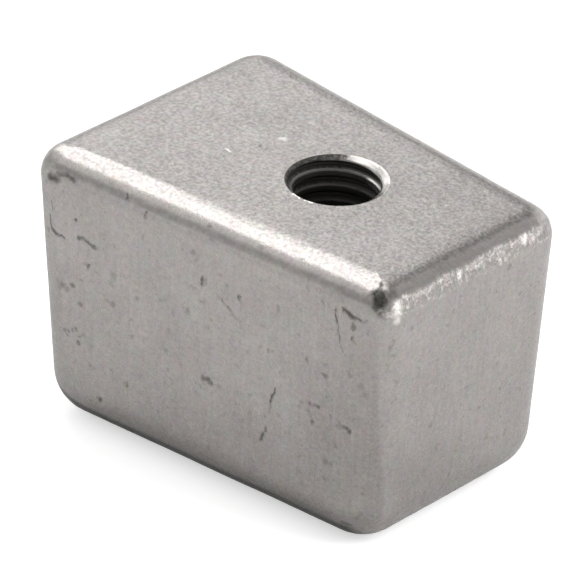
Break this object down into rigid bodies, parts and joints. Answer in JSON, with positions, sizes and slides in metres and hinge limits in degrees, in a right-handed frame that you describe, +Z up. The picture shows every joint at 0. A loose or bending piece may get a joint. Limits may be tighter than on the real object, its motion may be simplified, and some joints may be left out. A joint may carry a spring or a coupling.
{
  "type": "sacrificial anode",
  "caption": "Cast sacrificial anode block with a tapering plan, rounded edges and a tapped blind hole in its top, screwed on to protect the metal of a boat's drive.",
  "frame": {"origin": "middle of the block's bounding box, at its base", "axes": "+X from the wide end to the narrow end, +Z up out of the tapped hole"},
  "size_m": [0.0422, 0.0306, 0.0279],
  "materials": {
    "anode_metal": "dull satin as-cast skin, grainy on top, lightly scratched on the sides"
  },
  "bodies": {
    "root": {"anode": "anode_metal"}
  },
  "joints": []
}
